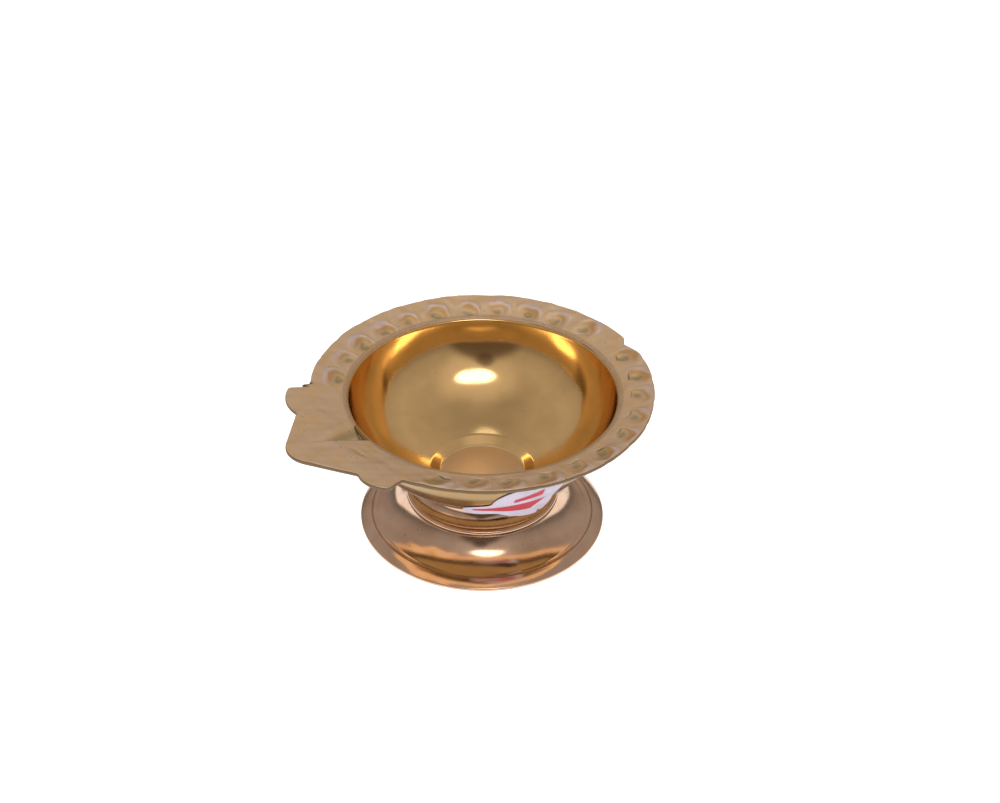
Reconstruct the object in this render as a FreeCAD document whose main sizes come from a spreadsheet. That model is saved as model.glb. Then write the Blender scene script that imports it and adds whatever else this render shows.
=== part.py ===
import FreeCAD, Part
import math
import os
import Sketcher
from FreeCAD import Placement, Rotation, Vector

# A small brass oil lamp on a flared foot, in millimetres, +Z up.
# The origin is the centre of the foot where it stands. The wick spout points along -Y.
# Each piece is turned or cut from its own profile and brazed to the next one.

DRIVING = [
    ("foot_radius", 22.5, "outside of the foot"),
    ("foot_edge", 0.45, "upright edge of the foot"),
    ("foot_wall", 1.1, "metal of the flare, and of the shoulder"),
    ("ridge_inset", 1.8, "foot edge in to the turned ridge"),
    ("ridge_height", 1.45, "top of the turned ridge"),
    ("groove_inset", 3.2, "foot edge in to the bottom of the groove"),
    ("groove_height", 1.05, "bottom of the groove"),
    ("shoulder_step", 3.2, "top of the flare out beyond the collar's waist"),
    ("shoulder_height", 5.5, "where the collar stands on the foot"),
    ("flare_drop", 0.1, "shoulder face down to the start of the flare"),
    ("flare_bow", 2.3, "curve of the flare: its radius over half its chord"),
    ("spigot_wall", 1.2, "tube that stands up inside the collar"),
    ("spigot_step", 0.6, "outside of that tube beyond the collar's waist"),
    ("spigot_rise", 1.5, "height of that tube"),
    ("bead_height", 1.0, "turned bead at the collar's foot"),
    ("bead_bow", 1.02, "curve of the bead: its radius over half its chord"),
    ("bead_inset", 0.7, "shoulder edge in to the top of the bead"),
    ("waist_wall", 1.37, "metal of the collar's waist round the cup's well"),
    ("waist_rise", 3.7, "shoulder up to the waist"),
    ("collar_height", 5.424, "shoulder up to where the collar meets the cup"),
    ("collar_flare", 0.7, "waist out to the collar's top edge"),
    ("collar_top_edge", 0.6, "upright edge under the cup"),
    ("cove_bow", 1.5, "hollow curve below the waist, as above"),
    ("neck_bow", 2.3, "hollow curve above the waist, as above"),
    ("ledge_bore", 7.0, "hole through the collar"),
    ("mouth_radius", 24.0, "opening of the cup"),
    ("lip_lean", 5.0, "wall at the mouth, leaning outward from upright, degrees"),
    ("wall_fullness", 0.729167, "curve of the cup's wall over the radius of its mouth"),
    ("floor_fullness", 1.625, "flatter curve of the cup's floor, likewise"),
    ("floor_lean", 60.0, "where the wall's curve passes into the floor's, degrees"),
    ("cup_wall", 0.9, "metal of the cup"),
    ("lip_crown", 0.85, "height of the lip's rounding over half the metal"),
    ("well_edge_radius", 9.4, "edge of the round well in the cup's floor"),
    ("well_slope", 1.7, "edge of the well in to its flat floor"),
    ("well_depth", 1.287, "edge of the well down to its flat floor"),
    ("rim_width", 5.667, "round part of the rim, across"),
    ("rim_rise", 0.1, "inner edge of the rim above the lip"),
    ("rim_angle", 12.0, "upward slope of the rim, degrees"),
    ("rim_thickness", 0.8, "metal of the rim"),
    ("spout_run", 8.7, "point of the spout beyond the round rim"),
    ("spout_angle", 5.0, "upward slope of the spout, degrees"),
    ("spout_round", 4.8, "rounding of the point"),
    ("spout_flank", 50.0, "straight flanks from the spout's axis, degrees"),
    ("root_run", 3.1, "inner corner between spout and ear, beyond the round rim"),
    ("root_angle", 18.0, "that corner from the spout's axis, degrees"),
    ("ear_run", 3.8, "outer corner of an ear beyond the round rim"),
    ("ear_angle", 31.0, "that corner from the spout's axis, degrees"),
    ("ear_bow", 1.34, "curve of an ear's outer side, as above"),
    ("notch_depth", 1.0, "nick opposite the spout"),
    ("notch_angle", 5.0, "bottom of the nick from +Y, degrees"),
    ("notch_long", 7.3, "long side of the nick, degrees"),
    ("notch_short", 2.7, "short side of the nick, degrees"),
    ("channel_width", 6.8, "wick channel at the cup"),
    ("channel_depth", 2.0, "wick channel at the cup"),
    ("channel_past", 4.0, "where the channel runs out, beyond the round rim"),
    ("channel_lead", 1.5, "length of the cutting bar inside the cup's edge"),
    ("channel_tall", 9.0, "height of the cutting bar"),
    ("braze_leg", 0.7, "leg of a brazed fillet"),
    ("label_radius", 9.0, "round paper label"),
    ("label_thickness", 0.14, "paper and glue"),
    ("label_fall", 5.5, "lip down to where the label touches the cup"),
    ("label_turn", -20.8, "azimuth where the label touches, degrees"),
    ("label_side", 1.7, "label's centre sideways of that point"),
    ("label_drop", 2.8, "label's centre below that point"),
    ("label_chord", 4.2, "straight top of the label above that point"),
    ("fit_gap", 0.03, "running space between pieces before brazing"),
]

# Cells worked out from the driving ones. R_Z pairs are points of the turned profiles.
DERIVED = [
    ("axis_line", "0"),
    ("ground", "0"),
    ("cup_curve", "mouth_radius * wall_fullness"),
    ("cup_outer", "cup_curve + cup_wall"),
    ("cup_seat", "cup_outer + fit_gap"),
    ("cup_shift", "mouth_radius - cup_curve * cos(lip_lean * 1deg)"),
    ("floor_curve", "mouth_radius * floor_fullness"),
    ("floor_outer", "floor_curve + cup_wall"),
    ("floor_seat", "floor_outer + fit_gap"),
    ("floor_shift", "cup_shift - (floor_curve - cup_curve) * cos(floor_lean * 1deg)"),
    ("socket_r", "well_edge_radius + fit_gap"),
    ("waist_radius", "socket_r + waist_wall"),
    ("waist_height", "shoulder_height + waist_rise"),
    ("collar_top_radius", "waist_radius + collar_flare"),
    ("shoulder_radius", "waist_radius + shoulder_step"),
    ("spigot_radius", "waist_radius + spigot_step"),
    ("collar_top_z", "shoulder_height + collar_height"),
    ("floor_centre", "collar_top_z + sqrt(floor_seat^2 - (collar_top_radius - floor_shift)^2)"),
    ("cup_centre", "floor_centre - (floor_curve - cup_curve) * sin(floor_lean * 1deg)"),
    ("bend_inner_r", "cup_shift + cup_curve * cos(floor_lean * 1deg)"),
    ("bend_inner_z", "cup_centre - cup_curve * sin(floor_lean * 1deg)"),
    ("bend_outer_r", "cup_shift + cup_outer * cos(floor_lean * 1deg)"),
    ("bend_outer_z", "cup_centre - cup_outer * sin(floor_lean * 1deg)"),
    ("lip_height", "cup_centre - cup_curve * sin(lip_lean * 1deg)"),
    ("lip_top", "lip_crown * cup_wall / 2"),
    ("lip_start", "lip_height - lip_top"),
    ("lip_inner_r", "cup_shift + sqrt(cup_curve^2 - (cup_centre - lip_start)^2)"),
    ("lip_outer_r", "cup_shift + sqrt(cup_outer^2 - (cup_centre - lip_start)^2)"),
    ("lip_half", "(lip_outer_r - lip_inner_r) / 2"),
    ("lip_arc", "(lip_half^2 + lip_top^2) / (2 * lip_top)"),
    ("well_edge_z", "floor_centre - sqrt(floor_curve^2 - (well_edge_radius - floor_shift)^2)"),
    ("well_spigot_z", "floor_centre - sqrt(floor_outer^2 - (well_edge_radius - floor_shift)^2)"),
    ("well_floor_radius", "well_edge_radius - well_slope"),
    ("well_floor_height", "well_edge_z - well_depth"),
    ("well_bottom_z", "well_floor_height - cup_wall"),
    ("ridge_r", "foot_radius - ridge_inset"),
    ("groove_r", "foot_radius - groove_inset"),
    ("band_r", "foot_radius - 0.2"),
    ("band_z", "foot_edge + 0.12"),
    ("flare_z", "shoulder_height - flare_drop"),
    ("chord_r", "groove_r - shoulder_radius"),
    ("chord_z", "flare_z - groove_height"),
    ("chord", "sqrt(chord_r^2 + chord_z^2)"),
    ("flare_radius", "flare_bow * chord / 2"),
    ("sagitta", "sqrt(flare_radius^2 - chord^2 / 4)"),
    ("flare_centre_r", "(groove_r + shoulder_radius) / 2 + sagitta * chord_z / chord"),
    ("flare_centre_z", "(flare_z + groove_height) / 2 + sagitta * chord_r / chord"),
    ("hollow_radius", "flare_radius + foot_wall"),
    ("ceiling_z", "shoulder_height - foot_wall"),
    ("hollow_base_r", "flare_centre_r - sqrt(hollow_radius^2 - flare_centre_z^2)"),
    ("hollow_top_r", "flare_centre_r - sqrt(hollow_radius^2 - (flare_centre_z - ceiling_z)^2)"),
    ("tube_bore", "spigot_radius - spigot_wall"),
    ("tube_top", "shoulder_height + spigot_rise"),
    ("socket_top_z", "floor_centre - sqrt(floor_seat^2 - (socket_r - floor_shift)^2)"),
    ("socket_floor", "well_bottom_z - fit_gap"),
    ("collar_edge_z", "collar_top_z - collar_top_edge"),
    ("bead_top_z", "shoulder_height + bead_height"),
    ("bead_top_r", "shoulder_radius - bead_inset"),
    ("counterbore_r", "spigot_radius + fit_gap"),
    ("counterbore_z", "tube_top + fit_gap"),
    ("rim_hole", "cup_shift + sqrt(cup_seat^2 - (cup_centre - lip_height)^2)"),
    ("rim_radius", "rim_hole + rim_width"),
    ("spout_reach", "rim_radius + spout_run"),
    ("root_radius", "rim_radius + root_run"),
    ("ear_radius", "rim_radius + ear_run"),
    ("channel_end", "rim_radius + channel_past"),
    ("rim_inner_z", "lip_height + rim_rise"),
    ("rim_edge_z", "rim_inner_z + (rim_radius - rim_hole) * tan(rim_angle * 1deg)"),
    ("plate_r", "spout_reach + 2"),
    ("plate_z", "rim_edge_z + (plate_r - rim_radius) * tan(spout_angle * 1deg)"),
    ("under_inner_z", "rim_inner_z - rim_thickness"),
    ("under_edge_z", "rim_edge_z - rim_thickness"),
    ("under_plate_z", "plate_z - rim_thickness"),
    ("blank_base_z", "rim_inner_z - rim_thickness - channel_depth - 1"),
    ("blank_base_r", "cup_shift + sqrt(cup_seat^2 - (cup_centre - blank_base_z)^2)"),
    ("under_bore", "blank_base_r - cup_wall"),
    ("channel_run", "channel_end - rim_hole"),
    ("crease_end", "rim_edge_z + (channel_end - rim_radius) * tan(spout_angle * 1deg)"),
    ("channel_climb", "crease_end - rim_inner_z + channel_depth"),
    ("channel_grade", "channel_climb / channel_run"),
    ("crease_z", "rim_inner_z - channel_depth - channel_lead * channel_grade"),
    ("keel_z", "crease_z - rim_thickness"),
    ("trough_top", "crease_z + channel_tall"),
    ("keel_top", "keel_z + channel_tall"),
    ("bar_half", "channel_tall * channel_width / (2 * channel_depth)"),
    ("bar_left", "-bar_half"),
    ("bar_place", "rim_hole - channel_lead"),
    ("bar_length", "1.5 * channel_run"),
    ("label_contact", "lip_height - label_fall"),
    ("fillet_z", "under_inner_z - braze_leg"),
    ("fillet_cup_r", "cup_shift + sqrt(cup_seat^2 - (cup_centre - fillet_z)^2)"),
    ("fillet_hole_r", "cup_shift + sqrt(cup_seat^2 - (cup_centre - under_inner_z)^2)"),
    ("fillet_rim_r", "rim_hole + braze_leg"),
    ("fillet_rim_z", "under_inner_z + braze_leg * tan(rim_angle * 1deg)"),
    ("cup_joint_r", "collar_top_radius + braze_leg"),
    ("cup_joint_z", "floor_centre - sqrt(floor_seat^2 - (cup_joint_r - floor_shift)^2)"),
    ("cup_joint_low", "collar_top_z - 0.8 * collar_top_edge"),
    ("foot_joint_r", "tube_bore - braze_leg"),
    ("foot_joint_z", "counterbore_z - braze_leg"),
]


def polar(name, radius, angle):
    """Two cells for a point of the rim's outline, at an angle from the spout's axis."""
    turned = f"({angle}) * 1deg"
    return [(name + "_x", f"{radius} * sin({turned})"), (name + "_y", f"-({radius}) * cos({turned})")]


def outline_cells():
    """The rim's outline: spout, two ears, the round rim and the nick opposite the spout."""
    cells = [
        ("flank_apex", "spout_reach + spout_round * (1 / sin(spout_flank * 1deg) - 1)"),
        ("tangent_run", "spout_round / tan(spout_flank * 1deg)"),
        ("tip_right_x", "tangent_run * sin(spout_flank * 1deg)"),
        ("tip_right_y", "-(flank_apex - tangent_run * cos(spout_flank * 1deg))"),
        ("tip_left_x", "-tip_right_x"),
        ("tip_left_y", "tip_right_y"),
    ]
    for side, sign in (("right", ""), ("left", "-")):
        cells += polar("root_" + side, "root_radius", sign + "root_angle")
        cells += polar("ear_" + side, "ear_radius", sign + "ear_angle")
        cells += polar("step_" + side, "rim_radius", sign + "ear_angle")
    cells += polar("nick_start", "rim_radius", "180 - notch_angle - notch_long")
    cells += polar("nick_low", "(rim_radius - notch_depth)", "180 - notch_angle")
    cells += polar("nick_end", "rim_radius", "180 - notch_angle + notch_short")
    cells.append(bow("ear_round", "ear_bow", "root_right_x", "root_right_y", "ear_right_x", "ear_right_y"))
    return cells


def bow(name, fullness, start_x, start_y, end_x, end_y):
    """A cell for an arc's radius: its fullness times half the chord between two corners."""
    chord = f"sqrt(({start_x} - {end_x})^2 + ({start_y} - {end_y})^2)"
    return (name, f"{fullness} * {chord} / 2")


def collar_cells():
    """The radii of the collar's bead and of its two hollow curves."""
    return [
        bow("bead_round", "bead_bow", "shoulder_radius", "shoulder_height", "bead_top_r", "bead_top_z"),
        bow("cove_radius", "cove_bow", "bead_top_r", "bead_top_z", "waist_radius", "waist_height"),
        bow("neck_radius", "neck_bow", "waist_radius", "waist_height", "collar_top_radius", "collar_edge_z"),
    ]


def make_sheet(doc):
    """The spreadsheet that every size of the lamp is read from."""
    sheet = doc.addObject("Spreadsheet::Sheet", "Sizes")
    rows = [(alias, str(value), note) for alias, value, note in DRIVING]
    worked_out = DERIVED + outline_cells() + collar_cells()
    rows += [(alias, "=" + formula, "worked out") for alias, formula in worked_out]
    for number, (alias, content, note) in enumerate(rows, start=1):
        sheet.set(f"A{number}", alias)
        sheet.set(f"B{number}", content)
        sheet.setAlias(f"B{number}", alias)
        sheet.set(f"C{number}", note)
    doc.recompute()
    return sheet


def size(sheet, alias):
    """A cell's value as a plain number."""
    return float(getattr(sheet, alias))


def arc_between(start, end, radius, side):
    """The short arc from start to end, its centre on the left (1) or right (-1) of the way."""
    middle = (start + end) * 0.5
    along = end - start
    half = along.Length / 2
    across = Vector(-along.y, along.x, 0).normalize()
    centre = middle + across * (side * math.sqrt(max(radius**2 - half**2, 0)))
    first, last = (start, end) if side > 0 else (end, start)
    angles = [math.atan2(p.y - centre.y, p.x - centre.x) for p in (first, last)]
    return Part.ArcOfCircle(Part.Circle(centre, Vector(0, 0, 1), radius), *angles)


def pin_point(sketch, sheet, edge, end, aliases):
    """Hold one corner of a sketch at the two named sizes."""
    for kind, alias in zip(("DistanceX", "DistanceY"), aliases):
        number = sketch.addConstraint(Sketcher.Constraint(kind, -1, 1, edge, end, size(sheet, alias)))
        label = f"{alias}_{kind[-1]}{edge}"
        sketch.renameConstraint(number, label)
        sketch.setExpression("Constraints." + label, "Sizes." + alias)


def draw_loop(sketch, sheet, corners, curves):
    """A closed loop through named corners; curves gives the arcs' radius and side by edge."""
    points = [Vector(size(sheet, x), size(sheet, y), 0) for x, y in corners]
    ends = []
    for number, start in enumerate(points):
        end = points[(number + 1) % len(points)]
        if number in curves:
            alias, side = curves[number]
            edge = sketch.addGeometry(arc_between(start, end, size(sheet, alias), side))
            ends.append((edge, 1, 2) if side > 0 else (edge, 2, 1))
        else:
            edge = sketch.addGeometry(Part.LineSegment(start, end))
            ends.append((edge, 1, 2))
    for number, (edge, first, last) in enumerate(ends):
        follower, follower_first, _ = ends[(number + 1) % len(ends)]
        sketch.addConstraint(Sketcher.Constraint("Coincident", edge, last, follower, follower_first))
    for (edge, first, _), aliases in zip(ends, corners):
        pin_point(sketch, sheet, edge, first, aliases)
    for number, (alias, _) in curves.items():
        edge = ends[number][0]
        radius = size(sheet, alias)
        constraint = sketch.addConstraint(Sketcher.Constraint("Radius", edge, radius))
        sketch.renameConstraint(constraint, f"{alias}_R{edge}")
        sketch.setExpression(f"Constraints.{alias}_R{edge}", "Sizes." + alias)


def sketch_on(body, role, name):
    """An empty sketch on one of the body's own origin planes."""
    plane = [f for f in body.Origin.OriginFeatures if f.Role == role][0]
    sketch = body.newObject("Sketcher::SketchObject", name)
    sketch.AttachmentSupport = [(plane, "")]
    sketch.MapMode = "FlatFace"
    return sketch


def turned_body(doc, sheet, name, corners, curves):
    """A body turned about Z from a closed profile of radii and heights."""
    body = doc.addObject("PartDesign::Body", name)
    sketch = sketch_on(body, "XZ_Plane", name + "_profile")
    draw_loop(sketch, sheet, corners, curves)
    turn = body.newObject("PartDesign::Revolution", name + "_turned")
    turn.Profile = sketch
    turn.ReferenceAxis = (sketch, ["V_Axis"])
    turn.Angle = 360
    sketch.Visibility = False
    doc.recompute()
    return body


def make_foot(doc, sheet):
    """The hollow foot: flared, with a groove and a ridge, and a tube up into the collar."""
    corners = [
        ("foot_radius", "ground"),
        ("foot_radius", "foot_edge"),
        ("band_r", "band_z"),
        ("ridge_r", "ridge_height"),
        ("groove_r", "groove_height"),
        ("shoulder_radius", "flare_z"),
        ("shoulder_radius", "shoulder_height"),
        ("spigot_radius", "shoulder_height"),
        ("spigot_radius", "tube_top"),
        ("tube_bore", "tube_top"),
        ("tube_bore", "ceiling_z"),
        ("hollow_top_r", "ceiling_z"),
        ("hollow_base_r", "ground"),
    ]
    curves = {4: ("flare_radius", -1), 11: ("hollow_radius", 1)}
    return turned_body(doc, sheet, "foot", corners, curves)


def make_collar(doc, sheet):
    """The turned collar: a socket for the cup above, a bead and a counterbore below."""
    corners = [
        ("counterbore_r", "shoulder_height"),
        ("shoulder_radius", "shoulder_height"),
        ("bead_top_r", "bead_top_z"),
        ("waist_radius", "waist_height"),
        ("collar_top_radius", "collar_edge_z"),
        ("collar_top_radius", "collar_top_z"),
        ("socket_r", "socket_top_z"),
        ("socket_r", "socket_floor"),
        ("ledge_bore", "socket_floor"),
        ("ledge_bore", "counterbore_z"),
        ("counterbore_r", "counterbore_z"),
    ]
    curves = {
        1: ("bead_round", 1),
        2: ("cove_radius", -1),
        3: ("neck_radius", -1),
        5: ("floor_seat", -1),
    }
    return turned_body(doc, sheet, "collar", corners, curves)


def make_cup(doc, sheet):
    """The spun cup: a steep round wall, a flatter floor, a rounded lip and a round well."""
    corners = [
        ("axis_line", "well_bottom_z"),
        ("well_edge_radius", "well_bottom_z"),
        ("well_edge_radius", "well_spigot_z"),
        ("bend_outer_r", "bend_outer_z"),
        ("lip_outer_r", "lip_start"),
        ("lip_inner_r", "lip_start"),
        ("bend_inner_r", "bend_inner_z"),
        ("well_edge_radius", "well_edge_z"),
        ("well_floor_radius", "well_floor_height"),
        ("axis_line", "well_floor_height"),
    ]
    curves = {
        2: ("floor_outer", 1),
        3: ("cup_outer", 1),
        4: ("lip_arc", 1),
        5: ("cup_curve", -1),
        6: ("floor_curve", -1),
    }
    return turned_body(doc, sheet, "oil_cup", corners, curves)


def make_joint_rings(doc, sheet, keel):
    """The three brazed fillets: rim to cup, cup to collar, and collar to foot."""
    rim = [
        ("fillet_cup_r", "fillet_z"),
        ("fillet_rim_r", "fillet_rim_z"),
        ("rim_hole", "under_inner_z"),
        ("fillet_hole_r", "under_inner_z"),
    ]
    rim_ring = turned_body(doc, sheet, "rim_braze_ring", rim, {3: ("cup_seat", -1)})
    cup = [
        ("collar_top_radius", "cup_joint_low"),
        ("cup_joint_r", "cup_joint_z"),
        ("collar_top_radius", "collar_top_z"),
    ]
    foot = [
        ("tube_bore", "foot_joint_z"),
        ("tube_bore", "counterbore_z"),
        ("foot_joint_r", "counterbore_z"),
    ]
    return [
        boolean(doc, "Part::Cut", "rim_braze", rim_ring, keel),
        turned_body(doc, sheet, "cup_braze", cup, {1: ("floor_seat", -1)}),
        turned_body(doc, sheet, "foot_braze", foot, {}),
    ]


def plan_prism(doc, sheet):
    """The rim's outline seen from above, padded right through the height of the blank."""
    body = doc.addObject("PartDesign::Body", "rim_plan")
    sketch = sketch_on(body, "XY_Plane", "rim_outline")
    names = [
        "tip_left", "tip_right", "root_right", "ear_right", "step_right",
        "nick_start", "nick_low", "nick_end", "step_left", "ear_left", "root_left",
    ]
    corners = [(name + "_x", name + "_y") for name in names]
    curves = {
        0: ("spout_round", 1),
        2: ("ear_round", 1),
        4: ("rim_radius", 1),
        7: ("rim_radius", 1),
        9: ("ear_round", 1),
    }
    draw_loop(sketch, sheet, corners, curves)
    pad = body.newObject("PartDesign::Pad", "rim_height")
    pad.Profile = sketch
    pad.setExpression("Length", "Sizes.plate_z * 2")
    doc.recompute()
    return body


def channel_bar(doc, sheet, name, crease, top):
    """A three-sided bar that climbs along the spout, its lower edge on the channel's crease."""
    body = doc.addObject("PartDesign::Body", name)
    sketch = sketch_on(body, "XZ_Plane", name + "_section")
    sketch.setExpression("AttachmentOffset.Base.z", "Sizes.bar_place")
    draw_loop(sketch, sheet, [("axis_line", crease), ("bar_half", top), ("bar_left", top)], {})
    pad = body.newObject("PartDesign::Pad", name + "_run")
    pad.Profile = sketch
    pad.UseCustomVector = True
    pad.AlongSketchNormal = True
    pad.Direction = Vector(0, -size(sheet, "channel_run"), size(sheet, "channel_climb"))
    pad.setExpression("Length", "Sizes.bar_length")
    doc.recompute()
    return body


def boolean(doc, kind, name, base, tool):
    """A Part::Cut or Part::Common of two objects."""
    result = doc.addObject(kind, name)
    result.Base = base
    result.Tool = tool
    doc.recompute()
    return result


def make_rim(doc, sheet, keel):
    """The rim plate with its wick spout: a dished plate, cut to outline, with a V channel."""
    blank = turned_body(doc, sheet, "rim_blank", [
        ("blank_base_r", "blank_base_z"),
        ("plate_r", "blank_base_z"),
        ("plate_r", "plate_z"),
        ("rim_radius", "rim_edge_z"),
        ("rim_hole", "rim_inner_z"),
        ("rim_hole", "lip_height"),
    ], {5: ("cup_seat", -1)})
    under = turned_body(doc, sheet, "rim_under", [
        ("under_bore", "ground"),
        ("plate_r", "ground"),
        ("plate_r", "under_plate_z"),
        ("rim_radius", "under_edge_z"),
        ("rim_hole", "under_inner_z"),
        ("under_bore", "under_inner_z"),
    ], {})
    trough = channel_bar(doc, sheet, "channel_trough", "crease_z", "trough_top")
    outlined = boolean(doc, "Part::Common", "rim_outlined", blank, plan_prism(doc, sheet))
    removed = boolean(doc, "Part::Cut", "rim_removed", under, keel)
    plate = boolean(doc, "Part::Cut", "rim_plate", outlined, removed)
    return boolean(doc, "Part::Cut", "rim_flange", plate, trough)


def make_label(doc, sheet):
    """The round paper label: flat, touching the cup at one point, its top cut by a chord."""
    body = doc.addObject("PartDesign::Body", "paper_label")
    sketch = sketch_on(body, "XY_Plane", "label_shape")
    radius = size(sheet, "label_radius")
    chord = size(sheet, "label_chord") + size(sheet, "label_drop")
    half = math.sqrt(radius**2 - chord**2)
    lean = math.atan2(chord, half)
    circle = Part.Circle(Vector(0, 0, 0), Vector(0, 0, 1), radius)
    sketch.addGeometry(Part.ArcOfCircle(circle, math.pi - lean, 2 * math.pi + lean))
    sketch.addGeometry(Part.LineSegment(Vector(half, chord, 0), Vector(-half, chord, 0)))
    sketch.addConstraint(Sketcher.Constraint("Coincident", 0, 3, -1, 1))
    sketch.addConstraint(Sketcher.Constraint("Coincident", 0, 2, 1, 1))
    sketch.addConstraint(Sketcher.Constraint("Coincident", 0, 1, 1, 2))
    sketch.addConstraint(Sketcher.Constraint("Horizontal", 1))
    bound = sketch.addConstraint(Sketcher.Constraint("Radius", 0, radius))
    sketch.setExpression(f"Constraints[{bound}]", "Sizes.label_radius")
    bound = sketch.addConstraint(Sketcher.Constraint("DistanceY", -1, 1, 1, 1, chord))
    sketch.setExpression(f"Constraints[{bound}]", "Sizes.label_chord + Sizes.label_drop")
    pad = body.newObject("PartDesign::Pad", "label_paper")
    pad.Profile = sketch
    pad.setExpression("Length", "Sizes.label_thickness")
    body.Placement = label_placement(sheet)
    doc.recompute()
    return body


def label_placement(sheet):
    """Lay the label tangent to the cup's outside, its own +Z pointing away from the cup."""
    outer = size(sheet, "cup_outer") + size(sheet, "fit_gap")
    centre = size(sheet, "cup_centre")
    down = centre - size(sheet, "label_contact")
    turn = math.radians(size(sheet, "label_turn"))
    flat = math.sqrt(outer**2 - down**2)
    normal = Vector(flat * math.cos(turn), flat * math.sin(turn), -down).normalize()
    sideways = Vector(0, 0, 1).cross(normal).normalize()
    upward = normal.cross(sideways)
    shift = size(sheet, "cup_shift")
    spot = Vector(shift * math.cos(turn), shift * math.sin(turn), centre) + normal * outer
    spot += sideways * size(sheet, "label_side") - upward * size(sheet, "label_drop")
    return Placement(spot, Rotation(sideways, upward, normal, "ZXY"))


def check(doc, pieces):
    """Stop if anything in the document failed, or a piece is empty or broken."""
    for item in doc.Objects:
        if "Invalid" in item.State or "Error" in item.State:
            raise RuntimeError(f"{item.Name} did not rebuild: {item.State}")
    for piece in pieces:
        shape = piece.Shape
        if shape.isNull() or not shape.isValid() or not shape.Solids:
            raise RuntimeError(f"{piece.Label} has no valid solid")


def export(pieces):
    """Write each piece to its own file, named for the piece."""
    os.makedirs("parts", exist_ok=True)
    for piece in pieces:
        piece.Shape.exportStep(f"parts/{piece.Label}.step")
        box = piece.Shape.BoundBox
        print(f"{piece.Label:12s} {piece.Shape.Volume:9.1f} mm3  z {box.ZMin:.2f} to {box.ZMax:.2f}")


def main():
    doc = FreeCAD.newDocument("oil_lamp")
    sheet = make_sheet(doc)
    keel = channel_bar(doc, sheet, "channel_keel", "keel_z", "keel_top")
    pieces = [make_foot(doc, sheet), make_collar(doc, sheet), make_cup(doc, sheet)]
    pieces += [make_rim(doc, sheet, keel)] + make_joint_rings(doc, sheet, keel)
    pieces += [make_label(doc, sheet)]
    doc.recompute()
    check(doc, pieces)
    export(pieces)


main()
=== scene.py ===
import math

import bpy
import numpy as np
from mathutils import Matrix, Vector


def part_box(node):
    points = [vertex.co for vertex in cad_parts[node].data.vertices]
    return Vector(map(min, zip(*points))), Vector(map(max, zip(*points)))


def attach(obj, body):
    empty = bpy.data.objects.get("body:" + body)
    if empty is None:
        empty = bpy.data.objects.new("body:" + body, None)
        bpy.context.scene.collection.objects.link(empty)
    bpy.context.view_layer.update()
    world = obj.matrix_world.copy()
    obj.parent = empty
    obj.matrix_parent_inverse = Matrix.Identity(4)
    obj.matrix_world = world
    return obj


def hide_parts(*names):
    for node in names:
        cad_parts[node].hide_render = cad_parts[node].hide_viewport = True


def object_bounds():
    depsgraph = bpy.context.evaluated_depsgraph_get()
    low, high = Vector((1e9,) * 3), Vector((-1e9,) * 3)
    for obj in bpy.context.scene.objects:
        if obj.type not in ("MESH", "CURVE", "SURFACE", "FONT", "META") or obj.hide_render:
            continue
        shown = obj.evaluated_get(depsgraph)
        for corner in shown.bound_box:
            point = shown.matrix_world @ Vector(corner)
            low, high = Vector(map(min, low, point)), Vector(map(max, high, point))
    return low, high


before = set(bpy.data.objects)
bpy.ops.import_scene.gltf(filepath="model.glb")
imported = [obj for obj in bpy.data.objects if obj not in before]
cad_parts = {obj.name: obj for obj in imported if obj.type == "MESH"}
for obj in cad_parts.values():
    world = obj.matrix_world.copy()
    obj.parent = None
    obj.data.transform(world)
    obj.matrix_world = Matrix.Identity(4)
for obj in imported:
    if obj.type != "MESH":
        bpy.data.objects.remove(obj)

bl_info = {
    "name": "Brass Oil Lamp",
    "version": (1, 0, 0),
    "blender": (4, 5, 0),
    "location": "View3D > Sidebar > Oil Lamp",
    "description": "A small brass oil lamp with a wick spout, a chased rim and a turned foot",
    "category": "Object",
}

MM = 0.001
CAD_LOW, CAD_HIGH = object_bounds()

# Sizes of the turned pieces, in millimetres, as the solids have them.
FOOT_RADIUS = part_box("foot")[1].x / MM
SHOULDER = 5.5
COLLAR_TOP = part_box("collar")[1].z / MM
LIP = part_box("oil_cup")[1].z / MM
CUP_WALL = 0.9
CLEARANCE = 0.03
MOUTH = 24.0
LIP_LEAN = math.radians(5)
WALL_CURVE = 17.5
FLOOR_CURVE = 39.0
BEND = -60.0
WALL_CENTRE = (MOUTH - WALL_CURVE * math.cos(LIP_LEAN), LIP + WALL_CURVE * math.sin(LIP_LEAN))
FLOOR_CENTRE = (
    WALL_CENTRE[0] - (FLOOR_CURVE - WALL_CURVE) * math.cos(math.radians(BEND)),
    WALL_CENTRE[1] - (FLOOR_CURVE - WALL_CURVE) * math.sin(math.radians(BEND)),
)
WALL_SEAT = WALL_CURVE + CUP_WALL + CLEARANCE
FLOOR_SEAT = FLOOR_CURVE + CUP_WALL + CLEARANCE
WELL_EDGE = 9.4
WELL_FLOOR = 7.7
WELL_FLOOR_Z = 9.8
HOLE = WALL_CENTRE[0] + math.sqrt(WALL_SEAT**2 - (WALL_CENTRE[1] - LIP) ** 2)
INNER_LIP = 24.12
LIP_DROP = 0.45
ROUND_RIM = 30.6
RIM_START_Z = 27.6
RIM_THICK = 0.8
RIM_SLOPE = math.tan(math.radians(12))
SPOUT_SLOPE = math.tan(math.radians(5))
FIRST_LEAF = 40.5
LEAF_TURN = 12.7


# ---------------------------------------------------------------- sizes and colours


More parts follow.
